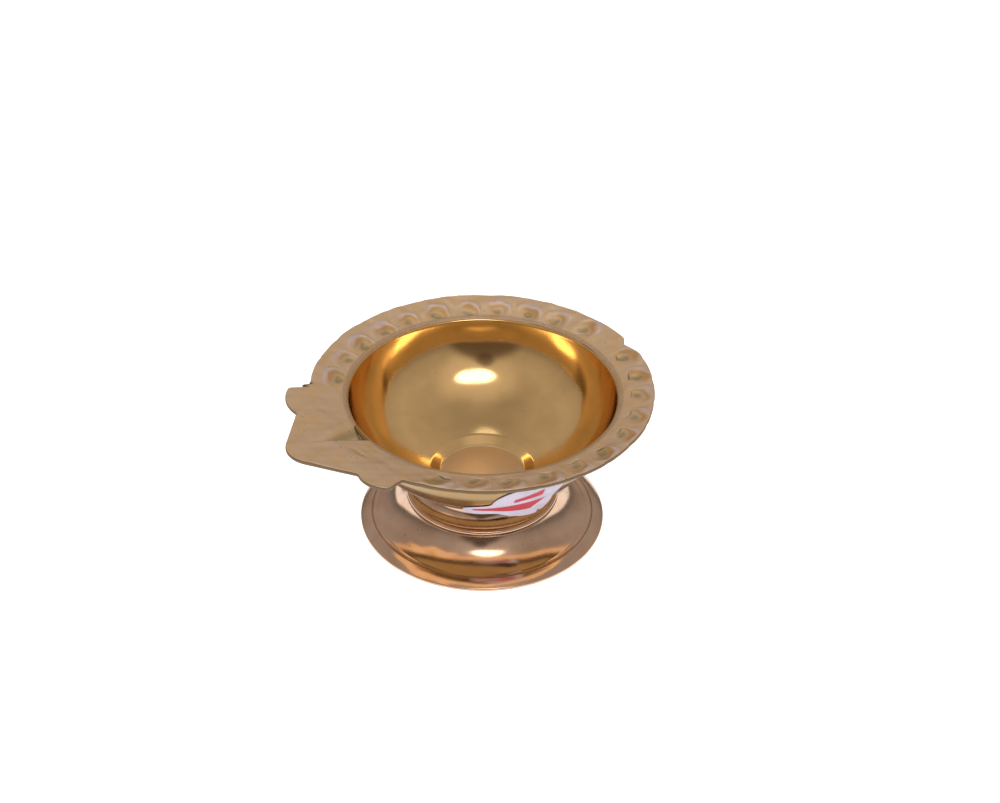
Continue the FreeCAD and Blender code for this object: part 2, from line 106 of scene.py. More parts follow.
class LampSizes(bpy.types.PropertyGroup):
    """Sizes of the detail that the solids leave out."""

    motif_depth: bpy.props.FloatProperty(
        name="Motif depth",
        description="How deep the leaf pattern is struck into the rim",
        default=0.00034,
        min=0.0,
        max=0.0006,
        unit="LENGTH",
    )
    motif_cells: bpy.props.IntProperty(
        name="Leaves per side",
        description="Leaves struck between the spout and the nick on each side",
        default=11,
        min=1,
        max=12,
    )
    rim_unevenness: bpy.props.FloatProperty(
        name="Rim unevenness",
        description="How far the rim's face waves up and down",
        default=0.00005,
        min=0.0,
        max=0.0003,
        unit="LENGTH",
    )
    cup_unevenness: bpy.props.FloatProperty(
        name="Cup unevenness",
        description="How far the cup's inside waves in and out",
        default=0.00005,
        min=0.0,
        max=0.0002,
        unit="LENGTH",
    )
    turning_unevenness: bpy.props.FloatProperty(
        name="Turning unevenness",
        description="How far the foot and collar wave in and out",
        default=0.00002,
        min=0.0,
        max=0.0002,
        unit="LENGTH",
    )


class LampColours(bpy.types.PropertyGroup):
    """Colours of the metals, the paper and the marks."""

    bowl: bpy.props.FloatVectorProperty(
        name="Bowl",
        description="Polished brass inside the cup",
        subtype="COLOR",
        default=(0.84, 0.56, 0.24),
        min=0.0,
        max=1.0,
    )
    turned: bpy.props.FloatVectorProperty(
        name="Foot and collar",
        description="Polished brass of the foot, the collar and the cup's outside",
        subtype="COLOR",
        default=(0.62, 0.43, 0.30),
        min=0.0,
        max=1.0,
    )
    rim: bpy.props.FloatVectorProperty(
        name="Rim",
        description="Duller brass of the rim",
        subtype="COLOR",
        default=(0.86, 0.63, 0.40),
        min=0.0,
        max=1.0,
    )
    # Olive of the patina in the rim's hollows, standing in for painted shade there as well.
    tarnish: bpy.props.FloatVectorProperty(
        name="Tarnish",
        description="Olive tarnish in the hollows of the rim",
        subtype="COLOR",
        default=(0.46, 0.36, 0.17),
        min=0.0,
        max=1.0,
    )
    # Dark colour of pits and lumps, and of the painted shade in the rim's hooks, channel crease, outer
    # edge and along the cup's lip.
    grime: bpy.props.FloatVectorProperty(
        name="Grime",
        description="Dirt in the seams and grooves",
        subtype="COLOR",
        default=(0.10, 0.07, 0.05),
        min=0.0,
        max=1.0,
    )
    paper: bpy.props.FloatVectorProperty(
        name="Paper",
        description="Paper of the label",
        subtype="COLOR",
        default=(0.62, 0.58, 0.70),
        min=0.0,
        max=1.0,
    )
    stripe: bpy.props.FloatVectorProperty(
        name="Stripe",
        description="Printed stripes of the label",
        subtype="COLOR",
        default=(0.50, 0.015, 0.03),
        min=0.0,
        max=1.0,
    )


class LampStage(bpy.types.PropertyGroup):
    """Strengths of the studio light."""

    key_power: bpy.props.FloatProperty(
        name="Key light",
        description="Power of the large softbox",
        default=1.1,
        min=0.0,
        max=100.0,
        subtype="POWER",
    )
    fill_power: bpy.props.FloatProperty(
        name="Fill light",
        description="Power of the low softbox",
        default=0.2,
        min=0.0,
        max=100.0,
        subtype="POWER",
    )
    room_light: bpy.props.FloatProperty(
        name="Room light",
        description="Brightness of the pale room",
        default=1.0,
        min=0.0,
        max=4.0,
        subtype="FACTOR",
    )


# ---------------------------------------------------------------- surfaces


def arc(centre, radius, start, end, count=48):
    """Points centre + radius * (cos a, sin a), the angle a going evenly from start to end."""
    angle = np.radians(np.linspace(start, end, count))
    return np.stack([centre[0] + radius * np.cos(angle), centre[1] + radius * np.sin(angle)], axis=1)


def bulge_circle(start, end, fullness, side):
    """Centre and radius of the circle through start and end, radius fullness times half the chord.

    Its centre is the chord's middle plus side * sqrt(radius^2 - half chord^2) across the chord.
    """
    first = np.array(start, float)
    last = np.array(end, float)
    half = np.hypot(*(last - first)) / 2
    radius = fullness * half
    across = np.array([first[1] - last[1], last[0] - first[0]]) / (2 * half)
    return (first + last) / 2 + across * side * math.sqrt(radius**2 - half**2), radius


def bulge(start, end, fullness, side, count=32):
    """The short arc from start to end on the circle that bulge_circle gives."""
    centre, radius = bulge_circle(start, end, fullness, side)
    ends = [math.atan2(p[1] - centre[1], p[0] - centre[0]) for p in (start, end)]
    turn = (ends[1] - ends[0] + math.pi) % (2 * math.pi) - math.pi
    return arc(centre, radius, math.degrees(ends[0]), math.degrees(ends[0] + turn), count)


def soften(points, step, blur, loop):
    """A profile resampled at even steps, then averaged with a bell curve so its corners are round.

    An open profile starts and ends on the axis, and is continued there by its own mirror image.
    """
    if loop:
        points = np.vstack([points, points[:1]])
    run = np.concatenate([[0], np.cumsum(np.hypot(*np.diff(points, axis=0).T))])
    count = round(run[-1] / step)
    at = np.linspace(0, run[-1], count, endpoint=not loop)
    even = np.stack([np.interp(at, run, points[:, k]) for k in (0, 1)], axis=1)
    reach = math.ceil(3 * blur / step)
    bell = np.exp(-0.5 * (np.arange(-reach, reach + 1) * step / blur) ** 2)
    bell /= bell.sum()
    if loop:
        longer = np.vstack([even[-reach:], even, even[:reach]])
    else:
        mirror = np.array([-1, 1])
        longer = np.vstack([even[reach:0:-1] * mirror, even, even[-2 : -reach - 2 : -1] * mirror])
    return np.stack([np.convolve(longer[:, k], bell, mode="valid") for k in (0, 1)], axis=1)


def turned(profile, segments):
    """The profile (r, z) turned about the axis: (r cos a, r sin a, z)."""
    angle = np.linspace(0, 2 * math.pi, segments, endpoint=False)
    radius, height = profile.T
    around = np.outer(height, np.ones(segments))
    return np.stack([np.outer(radius, np.cos(angle)), np.outer(radius, np.sin(angle)), around], axis=2)


def ripple(points, wave, seed):
    """Smooth unevenness of about one unit: 16 sine waves of about one wavelength, every way."""
    random = np.random.default_rng(seed)
    total = np.zeros(points.shape[:-1])
    for _ in range(16):
        way = random.normal(size=3)
        length = wave * random.uniform(0.7, 1.5)
        lines = points @ (way / np.linalg.norm(way)) * (2 * math.pi / length)
        total += np.sin(lines + random.uniform(0, 2 * math.pi))
    return total / 4


def normals(grid, loop):
    """Unit normals of a grid: the cross product of its two differences."""
    if loop:
        down = np.roll(grid, -1, axis=0) - np.roll(grid, 1, axis=0)
    else:
        down = np.gradient(grid, axis=0)
    along = np.roll(grid, -1, axis=1) - np.roll(grid, 1, axis=1)
    out = np.cross(along, down)
    size = np.linalg.norm(out, axis=2, keepdims=True)
    return out / np.maximum(size, 1e-9)


def smooth_between(value, start, end):
    """0 before start, 1 after end, and 3t^2 - 2t^3 between."""
    t = np.clip((value - start) / (end - start), 0, 1)
    return t * t * (3 - 2 * t)


def grid_faces(rows, columns, loop):
    """Quads of a grid that closes round its columns, and with loop round its rows as well.

    Without loop the first and the last row are poles: each is one point with triangles round it.
    """
    number = np.arange(rows * columns).reshape(rows, columns)
    if loop:
        low = number
        high = np.roll(number, -1, axis=0)
    else:
        low = number[1:-2]
        high = number[2:-1]
    quads = np.stack([low, np.roll(low, -1, axis=1), np.roll(high, -1, axis=1), high], axis=-1)
    if loop:
        return quads.reshape(-1, 4), np.zeros((0, 3), int)
    first = number[1]
    last = number[-2]
    start = np.stack([np.full(columns, number[0, 0]), np.roll(first, -1), first], axis=-1)
    finish = np.stack([last, np.roll(last, -1), np.full(columns, number[-1, 0])], axis=-1)
    return quads.reshape(-1, 4), np.vstack([start, finish])


def add_surface(name, grid, loop, values=None):
    """A smooth closed mesh from a grid of millimetre points, its faces turned outwards.

    They point outwards if the sum of a . (b x c) / 6 over the triangles, its volume, is positive.
    """
    rows, columns = grid.shape[:2]
    quads, fans = grid_faces(rows, columns, loop)
    flat = grid.reshape(-1, 3)
    thirds = np.vstack([quads[:, :3], quads[:, [0, 2, 3]], fans])
    corner = flat[thirds]
    volume = np.einsum("ij,ij->", corner[:, 0], np.cross(corner[:, 1], corner[:, 2])) / 6
    if volume < 0:
        quads = quads[:, ::-1]
        fans = fans[:, ::-1]
    used = np.unique(np.concatenate([quads.ravel(), fans.ravel()]))
    renumber = np.zeros(rows * columns, int)
    renumber[used] = np.arange(len(used))
    mesh = bpy.data.meshes.new(name)
    faces = renumber[quads].tolist() + renumber[fans].tolist()
    mesh.from_pydata((flat[used] * MM).tolist(), [], faces)
    mesh.polygons.foreach_set("use_smooth", np.ones(len(mesh.polygons), bool))
    for label, amount in (values or {}).items():
        layer = mesh.attributes.new(label, "FLOAT", "POINT")
        layer.data.foreach_set("value", amount.reshape(-1)[used].astype(np.float32))
    mesh.update()
    if mesh.validate():
        raise RuntimeError(f"the mesh of {name} had faults")
    piece = bpy.data.objects.new(name, mesh)
    bpy.context.scene.collection.objects.link(piece)
    return piece


def inside_box(grid):
    """The grid kept within the solid model's own box."""
    return np.clip(grid, np.array(CAD_LOW) / MM, np.array(CAD_HIGH) / MM)


def place(piece, material, node):
    """Give a piece its finish and its body, and let it stand for its solid."""
    piece.data.materials.append(material)
    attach(piece, "root")
    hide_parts(node)


# ---------------------------------------------------------------- finishes


class Wire:
    """A shader socket that takes part in ordinary sums, products and powers."""

    def __init__(self, finish, socket):
        self.finish = finish
        self.socket = socket

    def __add__(self, other):
        return self.finish.math("ADD", self, other)

    def __radd__(self, other):
        return self.finish.math("ADD", other, self)

    def __sub__(self, other):
        return self.finish.math("SUBTRACT", self, other)

    def __rsub__(self, other):
        return self.finish.math("SUBTRACT", other, self)

    def __mul__(self, other):
        return self.finish.math("MULTIPLY", self, other)

    def __rmul__(self, other):
        return self.finish.math("MULTIPLY", other, self)

    def __truediv__(self, other):
        return self.finish.math("DIVIDE", self, other)

    def __pow__(self, other):
        return self.finish.math("POWER", self, other)


class Finish:
    """The nodes of a material or of the room being put together."""

    def __init__(self, name, holders=None):
        self.owner = (bpy.data.materials if holders is None else holders).new(name)
        self.owner.use_nodes = True
        self.tree = self.owner.node_tree
        self.tree.nodes.clear()

    def node(self, kind, settings, sockets, output=0):
        """A node of any kind: its settings first, then what its sockets hold or are linked to."""
        made = self.tree.nodes.new(kind)
        for key, value in settings.items():
            if key == "stops":
                self.set_stops(made.color_ramp.elements, value)
            else:
                setattr(made, key, value)
        for key, value in sockets.items():
            if isinstance(value, Wire):
                self.tree.links.new(value.socket, made.inputs[key])
            else:
                made.inputs[key].default_value = value
        return Wire(self, made.outputs[output]) if made.outputs else None

    def set_stops(self, elements, stops):
        """A ramp's stops, each a position and a grey level."""
        while len(elements) < len(stops):
            elements.new(0.5)
        for element, (position, level) in zip(elements, stops):
            element.position = position
            element.color = (level, level, level, 1)

    def math(self, operation, first, second):
        return self.node("ShaderNodeMath", {"operation": operation}, {0: first, 1: second})

    def place(self):
        """The point of the piece, in metres."""
        return self.node("ShaderNodeTexCoord", {}, {}, "Object")

    def value(self, name):
        """A value that the mesh carries."""
        return self.node("ShaderNodeAttribute", {"attribute_name": name}, {}, "Fac")

    def noise(self, where, size, detail=3.0, roughness=0.55):
        """Cloudy noise from 0 to 1 whose patches are about one size, in metres."""
        sockets = {"Vector": where, "Scale": 1 / size, "Detail": detail, "Roughness": roughness}
        return self.node("ShaderNodeTexNoise", {}, sockets)

    def spots(self, where, size):
        """Distance to the nearest of many scattered points, in spot spacings."""
        return self.node("ShaderNodeTexVoronoi", {}, {"Vector": where, "Scale": 1 / size}, "Distance")

    def stretch(self, where, factors):
        """The place with each direction stretched."""
        return self.node("ShaderNodeVectorMath", {"operation": "MULTIPLY"}, {0: where, 1: factors})

    def between(self, value, start, end):
        """0 before start, 1 after end, smooth between."""
        sockets = {"Value": value, "From Min": start, "From Max": end}
        return self.node("ShaderNodeMapRange", {"interpolation_type": "SMOOTHSTEP"}, sockets)

    def mix(self, share, low, high):
        """The low colour where share is 0 and the high colour where it is 1."""
        return self.node("ShaderNodeMix", {"data_type": "RGBA"}, {0: share, 6: low, 7: high}, 2)

    def bump(self, height, depth, strength=1.0):
        """A normal from a height of 0 to 1 that stands for a depth in metres."""
        sockets = {"Height": height, "Distance": depth, "Strength": strength}
        return self.node("ShaderNodeBump", {}, sockets)

    def surface(self, **sockets):
        """Close the material with a principled shader; words stand for its socket names."""
        named = {key.replace("_", " ").title(): value for key, value in sockets.items()}
        shader = self.node("ShaderNodeBsdfPrincipled", {}, named)
        self.node("ShaderNodeOutputMaterial", {}, {"Surface": shader})
        return self.owner


def solid(colour):
    """A colour property as four numbers."""
    return (*colour, 1.0)


def polished_bowl(colours):
    """Bright spun brass with cloudy handling marks, fine scratches and pits, and painted shade on the
    cup's outside.
    """
    f = Finish("polished_bowl")
    where = f.place()
    clouds = f.noise(where, 7 * MM)
    grain = f.noise(where, 0.5 * MM, 2.0)
    pits = 1 - f.between(f.spots(where, 1.1 * MM), 0.04, 0.13)
    pitted = f.between(f.noise(where, 6 * MM, 1.0), 0.5, 0.66)
    pit = pits * pitted
    dark = solid([c * 0.72 for c in colours.bowl])
    tone = f.mix(f.between(clouds, 0.35, 0.75) * 0.45, solid(colours.bowl), dark)
    tone = f.mix(pit * 0.7, tone, solid(colours.grime))
    height = f.node("ShaderNodeSeparateXYZ", {}, {0: where}, "Z")
    well = 1 - f.between(height, 9.84 * MM, 9.95 * MM)
    tone = f.mix(well * 0.6, tone, solid([0.74, 0.55, 0.36]))
    outside = f.value("outside")
    # Painted shade: the cup's outside, under the rim, is darkened to 0.42 of the bowl colour.
    tone = f.mix(outside, tone, solid([c * 0.42 for c in colours.bowl]))
    rough = 0.08 + clouds * 0.08 + pit * 0.2 + well * 0.26 + outside * 0.08
    normal = f.bump(grain - pit * 1.5, 0.003 * MM)
    return f.surface(base_color=tone, metallic=1.0, roughness=rough, normal=normal)


def polished_turning(colours):
    """Turned brass with rings left by the lathe, softened by polishing."""
    f = Finish("polished_turning")
    where = f.place()
    clouds = f.noise(where, 5 * MM)
    rings = f.noise(f.stretch(where, (0.02, 0.02, 1.0)), 0.35 * MM, 2.0)
    pits = 1 - f.between(f.spots(where, 1.3 * MM), 0.05, 0.14)
    pitted = f.between(f.noise(where, 5 * MM, 1.0), 0.52, 0.68)
    pit = pits * pitted
    dark = solid([colours.turned[0] * 0.8, colours.turned[1] * 0.7, colours.turned[2] * 0.6])
    tone = f.mix(f.between(clouds, 0.35, 0.75) * 0.6, solid(colours.turned), dark)
    tone = f.mix(pit * 0.7, tone, solid(colours.grime))
    rough = 0.1 + clouds * 0.1 + pit * 0.2
    normal = f.bump(rings * 0.4 + clouds - pit, 0.006 * MM)
    return f.surface(base_color=tone, metallic=1.0, roughness=rough, normal=normal)


def struck_rim(colours):
    """Duller brass: olive patina and painted shade in the struck hollows, painted shade in the grooves
    and on the arches, a painted highlight on the crests, pits from casting.
    """
    f = Finish("struck_rim")
    where = f.place()
    clouds = f.noise(where, 3 * MM, 4.0)
    grain = f.noise(where, 0.35 * MM, 3.0)
    pits = 1 - f.between(f.spots(where, 1.2 * MM), 0.05, 0.16)
    pitted = f.between(f.noise(where, 4 * MM, 1.0), 0.5, 0.62)
    pit = pits * pitted
    tarnish = f.value("tarnish")
    grime = f.value("grime")
    arch_shade = f.value("arch")
    worn = f.value("worn")
    # brown is the painted shade on the arches, bright the pale lilac painted highlight on the crests.
    brown = solid([colours.rim[0] * 0.8, colours.rim[1] * 0.62, colours.rim[2] * 0.32])
    bright = solid([colours.rim[0], colours.rim[1] * 1.17, colours.rim[2] * 1.85])
    warm = solid([colours.rim[0] * 1.02, colours.rim[1] * 0.95, colours.rim[2] * 0.78])
    tone = f.mix(f.between(clouds, 0.35, 0.7), solid(colours.rim), warm)
    # Olive in the hollows: patina and painted shade.
    tone = f.mix(f.between(tarnish + clouds * 0.4, 0.35, 1.05) * 0.8, tone, solid(colours.tarnish))
    # Painted highlight: pale lilac on the leaf crests.
    tone = f.mix(f.between(worn + clouds * 0.5, 0.3, 1.0) * 0.55, tone, bright)
    # Painted shade: brown on the arches.
    tone = f.mix(f.between(arch_shade + clouds * 0.5, 0.3, 1.0) * 0.75, tone, brown)
    # Painted shade in the hooks, the channel crease, the outer edge and along the cup's lip, with some
    # dirt in the seam and burr.
    tone = f.mix(f.between(grime + grain * 0.3, 0.4, 1.1) * 0.85, tone, solid(colours.grime))
    tone = f.mix(pit * 0.6, tone, solid(colours.grime))
    rough = 0.34 + clouds * 0.12 + grime * 0.2
    normal = f.bump(grain * 0.8 + clouds - pit, 0.02 * MM)
    return f.surface(base_color=tone, metallic=1.0, roughness=rough, normal=normal)


def braze_finish(colours):
    """Dull brazing metal with lumps and dirt."""
    f = Finish("braze_finish")
    where = f.place()
    lumps = f.noise(where, 0.7 * MM)
    grain = f.noise(where, 0.2 * MM)
    base = [c * 0.7 for c in colours.turned]
    tone = f.mix(f.between(lumps, 0.35, 0.65), solid(base), solid([c * 2 for c in colours.grime]))
    normal = f.bump(lumps + grain * 0.3, 0.05 * MM)
    return f.surface(base_color=tone, metallic=0.9, roughness=0.4 + grain * 0.2, normal=normal)


def printed_paper(colours):
    """Paper with printed stripes that follow the label's own directions."""
    f = Finish("printed_paper")
    where = f.place()
    across = f.value("across")
    upward = f.value("upward")
    ray = f.math("ARCTAN2", upward + 1.6, across + 9.9)
    wedge = f.between(ray, -0.17, -0.15) * (1 - f.between(ray, 0.11, 0.13))
    wedge = wedge * f.between(across, -8.0, -7.6) * (1 - f.between(across - upward * 0.5, 5.4, 5.6))
    sliver = f.between(ray, 0.24, 0.26) * (1 - f.between(ray, 0.37, 0.39))
    sliver = sliver * f.between(across, -0.8, -0.5) * (1 - f.between(across, 4.2, 4.4))
    ink = f.math("MAXIMUM", wedge, sliver)
    fibres = f.noise(where, 0.3 * MM, 4.0)
    stain = f.noise(where, 4 * MM)
    shade = solid([c * 0.82 for c in colours.paper])
    tone = f.mix(f.between(stain, 0.4, 0.7), solid(colours.paper), shade)
    tone = f.mix(ink * (0.94 + fibres * 0.06), tone, solid(colours.stripe))
    normal = f.bump(fibres + stain, 0.03 * MM)
    return f.surface(base_color=tone, metallic=0.0, roughness=0.5 + fibres * 0.15, normal=normal)


def pale_floor():
    """A plain pale floor, bright enough to show no hard shadow."""
    f = Finish("pale_floor")
    return f.surface(
        base_color=(0.9, 0.9, 0.9, 1.0),
        roughness=0.9,
        emission_color=(0.98, 0.985, 1.0, 1.0),
        emission_strength=0.95,
    )


# ---------------------------------------------------------------- turned pieces


def foot_profile():
    """The foot's section: edge, band, ridge, groove, flare, shoulder, tube and hollow underside."""
    flare_ends = ((19.3, 1.05), (14.0, SHOULDER - 0.1))
    flare = bulge(*flare_ends, 2.3, -1, 60)
    centre, radius = bulge_circle(*flare_ends, 2.3, -1)
    inside = radius + 1.1
    ceiling = 180 + math.degrees(math.asin((centre[1] - 4.4) / inside))
    base = 180 + math.degrees(math.asin(centre[1] / inside))
    hollow = arc(centre, inside, ceiling, base, 60)
    parts = [
        [(FOOT_RADIUS, 0), (FOOT_RADIUS, 0.45), (FOOT_RADIUS - 0.2, 0.57)],
        bulge((FOOT_RADIUS - 0.2, 0.57), (20.75, 1.4), 8.0, 1, 12),
        [(20.6, 1.5), (20.45, 1.4)],
        bulge((20.45, 1.32), (19.3, 1.05), 1.3, -1, 16),
        flare,
        [(14.0, SHOULDER), (11.4, SHOULDER), (11.4, 7.0), (10.2, 7.0), (10.2, 4.4)],
        hollow,
    ]
    return np.vstack([np.array(part, float) for part in parts])


def collar_profile():
    """The collar's section: bead, hollow neck in two curves, seat under the cup, socket and bore."""
    seat_out = -math.degrees(math.asin((FLOOR_CENTRE[1] - COLLAR_TOP) / FLOOR_SEAT))
    seat_in = -math.degrees(math.acos((WELL_EDGE + CLEARANCE - FLOOR_CENTRE[0]) / FLOOR_SEAT))
    seat = arc(FLOOR_CENTRE, FLOOR_SEAT, seat_out, seat_in, 8)
    parts = [
        [(11.43, SHOULDER), (13.85, SHOULDER)],
        bulge((13.85, SHOULDER + 0.05), (13.3, 6.5), 1.02, 1),
        bulge((13.25, 6.5), (10.8, 9.2), 1.5, -1),
        bulge((10.8, 9.2), (11.5, COLLAR_TOP - 0.6), 2.3, -1),
        seat,
        [(9.43, 8.87), (7.0, 8.87), (7.0, 7.03), (11.43, 7.03)],
    ]
    return np.vstack([np.array(part, float) for part in parts])


def cup_profile():
    """The cup's section from the axis below, round its lip, to the axis in the well."""
    outer = WALL_CURVE + CUP_WALL
    lip_low = math.degrees(math.asin((LIP - LIP_DROP - WALL_CENTRE[1]) / outer))
    lip_in = math.degrees(math.asin((LIP - LIP_DROP - WALL_CENTRE[1]) / WALL_CURVE))
    edge_out = -math.degrees(math.acos((WELL_EDGE - FLOOR_CENTRE[0]) / (FLOOR_CURVE + CUP_WALL)))
    edge_in = -math.degrees(math.acos((WELL_EDGE - FLOOR_CENTRE[0]) / FLOOR_CURVE))
    outside = np.vstack([
        arc(FLOOR_CENTRE, FLOOR_CURVE + CUP_WALL, edge_out, BEND, 40),
        arc(WALL_CENTRE, outer, BEND, lip_low, 70),
    ])
    inside = np.vstack([
        arc(WALL_CENTRE, WALL_CURVE, lip_in, BEND, 70),
        arc(FLOOR_CENTRE, FLOOR_CURVE, BEND, edge_in, 40),
    ])
    crown = bulge(outside[-1], inside[0], 1.3, 1, 12)
    parts = [
        [(0, WELL_FLOOR_Z - CUP_WALL), (WELL_EDGE, WELL_FLOOR_Z - CUP_WALL)],
        outside,
        crown,
        inside,
        [(WELL_FLOOR, WELL_FLOOR_Z), (0, WELL_FLOOR_Z)],
    ]
    return np.vstack([np.array(part, float) for part in parts])


class LAMP_OT_foot(bpy.types.Operator):
    """Turn the hollow foot with its ridge, groove and flare"""

    bl_idname = "lamp.foot"
    bl_label = "Foot"

    def execute(self, context):
        grid = turned(soften(foot_profile(), 0.14, 0.07, True), 224)
        wave = ripple(grid, 7.0, 21) * context.scene.lamp_sizes.turning_unevenness / MM
        free = smooth_between(grid[:, :, 2], 0.3, 1.2)
        grid = inside_box(grid + normals(grid, True) * (wave * free)[:, :, None])
        piece = add_surface("turned_foot", grid, True)
        place(piece, polished_turning(context.scene.lamp_colours), "foot")
        return {"FINISHED"}


class LAMP_OT_collar(bpy.types.Operator):
    """Turn the collar with its bead and hollow neck"""

    bl_idname = "lamp.collar"
    bl_label = "Collar"

    def execute(self, context):
        grid = turned(soften(collar_profile(), 0.1, 0.05, True), 192)
        piece = add_surface("turned_collar", grid, True)
        place(piece, bpy.data.materials["polished_turning"], "collar")
        return {"FINISHED"}


class LAMP_OT_cup(bpy.types.Operator):
    """Spin the round cup with its lip and its well"""

    bl_idname = "lamp.cup"
    bl_label = "Cup"

    def execute(self, context):
        profile = soften(cup_profile(), 0.2, 0.12, False)
        profile[[0, -1], 0] = 0
        grid = turned(profile, 256)
        inner = np.arange(len(profile))[:, None] > np.argmax(profile[:, 1])
        wall = smooth_between(grid[:, :, 2], 10.8, 13.0) * inner
        wave = 0.5 * ripple(grid * np.array([1, 1, 0.2]), 7.0, 5) + 0.05 * ripple(grid, 3.0, 6)
        push = wave * wall * context.scene.lamp_sizes.cup_unevenness / MM
        grid = grid + normals(grid, False) * push[:, :, None]
        # Marks the cup's outside, which the bowl finish paints darker as painted shade under the rim.
        outside = np.broadcast_to(1.0 - inner, grid.shape[:2])
        piece = add_surface("spun_cup", grid, False, {"outside": outside})
        place(piece, polished_bowl(context.scene.lamp_colours), "oil_cup")
        return {"FINISHED"}


# ---------------------------------------------------------------- the rim

TIP_REACH = 39.3
TIP_ROUNDING = 4.9
CORNER_ANGLE = 18.0
CORNER_REACH = 33.7
EAR_REACH = 34.4


def polar(distance, angle):
    """The point at a distance from the axis and an angle in degrees from the spout's middle."""
    return (distance * math.cos(math.radians(angle)), distance * math.sin(math.radians(angle)))


def spout_side(ear_end):
    """Half the spout, as angles and distances: round tip, straight flank, corner, round ear, step."""
    corner = polar(CORNER_REACH, CORNER_ANGLE)
    path = np.vstack([
        arc((TIP_REACH - TIP_ROUNDING, 0), TIP_ROUNDING, 0, 40, 20),
        bulge(corner, polar(EAR_REACH, ear_end), 1.73, 1, 24),
        [polar(ROUND_RIM, ear_end + 0.4)],
    ])
    between = np.linspace(path[19], path[20], 20)[1:-1]
    path = np.vstack([path[:20], between, path[20:]])
    angle = np.degrees(np.arctan2(path[:, 1], path[:, 0]))
    return np.maximum.accumulate(angle), np.hypot(path[:, 0], path[:, 1])


def outline(angle):
    """Distance from the axis to the rim's edge.

    The rim is round but for the spout with its two ears, a rough burr 2.2 * exp(-(x / 0.35)^2)
    behind the far ear, the nick, a slight dip where each struck leaf starts and a slow unevenness.
    """
    near = np.interp(angle, *spout_side(29.4))
    far = np.interp(-angle, *spout_side(31.4))
    edge = np.where(angle >= 0, near, far)
    edge += 2.2 * np.exp(-(((angle + 33.0) / 0.35) ** 2))
    edge += 0.4 * np.exp(-(((angle + 36.0) / 30.0) ** 2)) * smooth_between(-angle, 31.4, 33.0)
    edge -= np.interp(angle, (167.7, 175.0, 177.7), (0.0, 1.0, 0.0))
    spread = np.exp(-0.5 * (np.arange(-3, 4) / 1.3) ** 2)
    edge = np.convolve(np.pad(edge, 3, mode="wrap"), spread / spread.sum(), mode="valid")
    size = np.abs(angle)
    cell = np.clip(np.round((size - 36.8) / 12.7), 0, 10)
    edge -= 0.09 * np.exp(-(((size - 36.8 - 12.7 * cell) / 1.4) ** 2))
    plain = smooth_between(size, 31, 36)
    turn = np.radians(angle)
    return edge - plain * 0.07 * (1 + np.sin(7 * turn + 1) * np.sin(4 * turn) + 0.5 * np.sin(17 * turn))


def struck_pattern(angle, radius, cells):
    """Height of the struck leaves and their marks: hollow, brown arch of painted shade, crest with a
    painted highlight, dark hook of painted shadow.

    Each side of the rim repeats one cell every 12.7 degrees. In a cell, with rho the distance from
    the leaf's middle and phi its direction, the hollow is exp(-(rho / 0.95)^2). Round it, strongest
    towards phi = 55 degrees, run the arch at rho = 1.35 and the crest at rho = 2.15.
    """
    size = np.abs(angle)
    number = np.round((size - FIRST_LEAF) / LEAF_TURN)
    known = (number >= 0) & (number < cells)
    index = (np.clip(number, 0, cells - 1) * 2 + (angle < 0)).astype(int)
    random = np.random.default_rng(11)
    shift = random.uniform(-0.25, 0.25, (2 * cells, 2))
    power = random.uniform(0.7, 1.15, 2 * cells)
    turn = np.radians(angle)
    points = np.stack([radius * np.cos(turn), radius * np.sin(turn), 0 * radius], axis=2)
    far_side = smooth_between(-angle, 0, 40) * smooth_between(angle, -178, -150)
    middle = 27.6 - 1.6 * far_side
    across = np.radians(size - FIRST_LEAF - LEAF_TURN * number) * 28.0 + shift[index, 0]
    across = across + 0.22 * ripple(points, 3.0, 21)
    outward = radius - middle + shift[index, 1] + 0.22 * ripple(points, 2.4, 22)
    along = across + 0.35 * outward * (1 - far_side)
    rho = np.hypot(along / 1.3, outward / (1.05 + 0.3 * (1 - far_side)))
    phi = np.arctan2(outward, along)
    lit = 0.5 + 0.5 * np.cos(phi - math.radians(55))
    inside = smooth_between(across, -3.1, -2.2) * smooth_between(-across, -3.1, -2.2)
    inside = inside * known * power[index]
    # The hollow also colours the rim olive: patina and painted shade.
    hollow = np.exp(-((rho / 0.95) ** 2)) * inside
    # The arch also paints brown shade and the crest a painted highlight on the rim.
    arch = np.exp(-(((rho - 1.35) / 0.42) ** 2)) * lit**1.5 * inside
    crest = np.exp(-(((rho - 2.25) / 0.55) ** 2)) * lit**1.5 * inside
    # The hook is also painted dark on the rim: a painted shadow line.
    hook_y = outward + 1.35 - 0.25 * across
    hook = np.exp(-((hook_y / 0.17) ** 2)) * smooth_between(across, -1.0, 0.2)
    hook = hook * smooth_between(-across, -2.4, -1.4) * inside * (1 - far_side)
    height = -0.8 * hollow - 0.1 * arch + 0.45 * crest - 0.4 * hook
    return height, hollow, arch, crest, hook


def spout_channel(across, radius):
    """Depth of the wick channel: a valley with a steep near wall and a long soft far wall.

    The crease runs from 0.5 mm on the near side at the cup to 1.6 mm on the far side where it runs
    out, 34.6 mm from the axis. Depth is 2 mm at the cup and falls in a straight line to nothing.
    """
    share = np.clip((34.6 - radius) / (34.6 - HOLE), 0, 1)
    crease = 0.6 - 2.2 * (1 - share)
    offset = across - crease
    far = np.clip(1 + offset / (5.9 * share + 0.02), 0, 1)
    near = np.clip(1 - offset / (1.15 * share + 0.02), 0, 1)
    wall = np.where(offset < 0, far * far * (1.7 - 0.7 * far), near * near * (3 - 2 * near))
    return 2.0 * share**1.1 * wall


